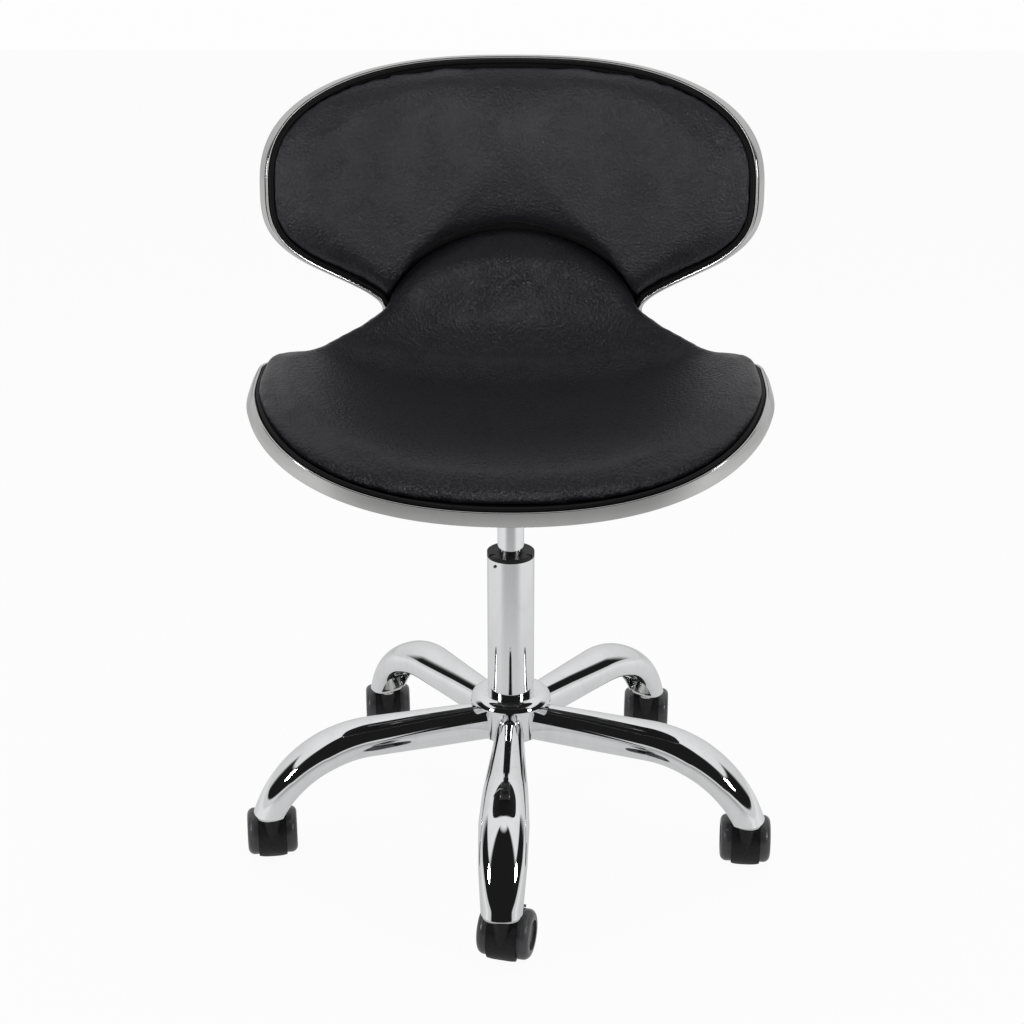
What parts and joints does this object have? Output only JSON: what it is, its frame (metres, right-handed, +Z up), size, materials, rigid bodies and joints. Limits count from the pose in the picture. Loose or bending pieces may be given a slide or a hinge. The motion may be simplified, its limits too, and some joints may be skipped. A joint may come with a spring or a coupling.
{
  "type": "rolling stool",
  "caption": "Height-adjustable rolling stool with a bent saddle seat and back in one shell, black pads, a bright rim, a lift column and a five-arm caster base.",
  "frame": {"origin": "on the floor under the axis of the lift column", "axes": "+Z up, the sitter faces -Y, +X is the sitter's left"},
  "size_m": [0.5666, 0.5498, 0.8155],
  "materials": {
    "chrome_steel": "mirror chrome plate",
    "polished_band": "polished metal band",
    "bright_steel": "plain bright steel",
    "black_steel": "black powder coat",
    "black_plastic": "moulded black nylon",
    "wheel_plastic": "smooth dark nylon tread",
    "black_leather": "black grained leatherette",
    "welt_vinyl": "smooth black vinyl piping",
    "plywood": "bent plywood, clear coat",
    "spacer_wood": "plain hardwood",
    "zinc_steel": "zinc plated"
  },
  "bodies": {
    "base": {"base_hub": "chrome_steel", "hub_collar": "chrome_steel", "stand_tube": "chrome_steel", "guide_bush": "black_plastic", "bush_rivets": "black_steel", "thrust_bearing": "bright_steel", "base_arm_1": "chrome_steel", "base_arm_2": "chrome_steel", "base_arm_3": "chrome_steel", "base_arm_4": "chrome_steel", "base_arm_5": "chrome_steel", "stem_socket_1": "zinc_steel", "stem_socket_2": "zinc_steel", "stem_socket_3": "zinc_steel", "stem_socket_4": "zinc_steel", "stem_socket_5": "zinc_steel", "caster_stem_1": "bright_steel", "caster_stem_2": "bright_steel", "caster_stem_3": "bright_steel", "caster_stem_4": "bright_steel", "caster_stem_5": "bright_steel"},
    "spindle": {"piston_rod": "bright_steel", "bottom_clip": "zinc_steel"},
    "seat": {"gas_cylinder": "chrome_steel", "lever_housing": "black_steel", "mount_plate": "black_steel", "lever_pin": "zinc_steel", "plate_bolts": "zinc_steel", "barrel_nuts": "zinc_steel", "spacer_block": "spacer_wood", "seat_shell": "plywood", "shell_lining": "welt_vinyl", "rim_trim": "polished_band", "edge_welt": "welt_vinyl", "seat_pad": "black_leather", "back_pad": "black_leather"},
    "valve_pin": {"release_pin": "bright_steel"},
    "lever": {"release_lever": "chrome_steel", "lever_grip": "black_plastic"},
    "caster_1": {"caster_hood_1": "black_plastic", "caster_axle_1": "bright_steel"},
    "wheel_l_1": {"wheel_left_1": "wheel_plastic"},
    "wheel_r_1": {"wheel_right_1": "wheel_plastic"},
    "caster_2": {"caster_hood_2": "black_plastic", "caster_axle_2": "bright_steel"},
    "wheel_l_2": {"wheel_left_2": "wheel_plastic"},
    "wheel_r_2": {"wheel_right_2": "wheel_plastic"},
    "caster_3": {"caster_hood_3": "black_plastic", "caster_axle_3": "bright_steel"},
    "wheel_l_3": {"wheel_left_3": "wheel_plastic"},
    "wheel_r_3": {"wheel_right_3": "wheel_plastic"},
    "caster_4": {"caster_hood_4": "black_plastic", "caster_axle_4": "bright_steel"},
    "wheel_l_4": {"wheel_left_4": "wheel_plastic"},
    "wheel_r_4": {"wheel_right_4": "wheel_plastic"},
    "caster_5": {"caster_hood_5": "black_plastic", "caster_axle_5": "bright_steel"},
    "wheel_l_5": {"wheel_left_5": "wheel_plastic"},
    "wheel_r_5": {"wheel_right_5": "wheel_plastic"}
  },
  "joints": [
    {"name": "seat_swivel", "type": "hinge", "parent": "base", "child": "spindle", "pos_m": [0, 0, 0.122], "axis": [0, 0, 1], "continuous": true},
    {"name": "seat_lift", "type": "slide", "parent": "spindle", "child": "seat", "axis": [0, 0, 1], "range_m": [0, 0.11]},
    {"name": "lever_tilt", "type": "hinge", "parent": "seat", "child": "lever", "pos_m": [-0.025, 0, 0.4265], "axis": [0, 1, 0], "range_deg": [0, 6], "stiffness_Nm_per_rad": 1.2, "springref_deg": -3.44},
    {"name": "pin_press", "type": "slide", "parent": "seat", "child": "valve_pin", "axis": [0, 0, -1], "range_m": [0, 0.00265]},
    {"name": "caster_swivel_1", "type": "hinge", "parent": "base", "child": "caster_1", "pos_m": [-0.00604, -0.26593, 0.045], "axis": [0, 0, 1], "continuous": true},
    {"name": "wheel_spin_left_1", "type": "hinge", "parent": "caster_1", "child": "wheel_l_1", "pos_m": [-0.0012, -0.24653, 0.025], "axis": [0.9703, -0.2419, 0], "continuous": true},
    {"name": "wheel_spin_right_1", "type": "hinge", "parent": "caster_1", "child": "wheel_r_1", "pos_m": [-0.0012, -0.24653, 0.025], "axis": [0.9703, -0.2419, 0], "continuous": true},
    {"name": "caster_swivel_2", "type": "hinge", "parent": "base", "child": "caster_2", "pos_m": [0.25105, -0.08792, 0.045], "axis": [0, 0, 1], "continuous": true},
    {"name": "wheel_spin_left_2", "type": "hinge", "parent": "caster_2", "child": "wheel_l_2", "pos_m": [0.25245, -0.06797, 0.025], "axis": [0.9976, -0.0698, 0], "continuous": true},
    {"name": "wheel_spin_right_2", "type": "hinge", "parent": "caster_2", "child": "wheel_r_2", "pos_m": [0.25245, -0.06797, 0.025], "axis": [0.9976, -0.0698, 0], "continuous": true},
    {"name": "caster_swivel_3", "type": "hinge", "parent": "base", "child": "caster_3", "pos_m": [0.16119, 0.2116, 0.045], "axis": [0, 0, 1], "continuous": true},
    {"name": "wheel_spin_left_3", "type": "hinge", "parent": "caster_3", "child": "wheel_l_3", "pos_m": [0.16259, 0.23155, 0.025], "axis": [0.9976, -0.0698, 0], "continuous": true},
    {"name": "wheel_spin_right_3", "type": "hinge", "parent": "caster_3", "child": "wheel_r_3", "pos_m": [0.16259, 0.23155, 0.025], "axis": [0.9976, -0.0698, 0], "continuous": true},
    {"name": "caster_swivel_4", "type": "hinge", "parent": "base", "child": "caster_4", "pos_m": [-0.15143, 0.21869, 0.045], "axis": [0, 0, 1], "continuous": true},
    {"name": "wheel_spin_left_4", "type": "hinge", "parent": "caster_4", "child": "wheel_l_4", "pos_m": [-0.15317, 0.23861, 0.025], "axis": [0.9962, 0.0872, 0], "continuous": true},
    {"name": "wheel_spin_right_4", "type": "hinge", "parent": "caster_4", "child": "wheel_r_4", "pos_m": [-0.15317, 0.23861, 0.025], "axis": [0.9962, 0.0872, 0], "continuous": true},
    {"name": "caster_swivel_5", "type": "hinge", "parent": "base", "child": "caster_5", "pos_m": [-0.25478, -0.07644, 0.045], "axis": [0, 0, 1], "continuous": true},
    {"name": "wheel_spin_left_5", "type": "hinge", "parent": "caster_5", "child": "wheel_l_5", "pos_m": [-0.25756, -0.05663, 0.025], "axis": [0.9903, 0.1392, 0], "continuous": true},
    {"name": "wheel_spin_right_5", "type": "hinge", "parent": "caster_5", "child": "wheel_r_5", "pos_m": [-0.25756, -0.05663, 0.025], "axis": [0.9903, 0.1392, 0], "continuous": true}
  ],
  "couplings": [
    {"joint": "pin_press", "follows": "lever_tilt", "m_per_rad": 0.0251}
  ]
}
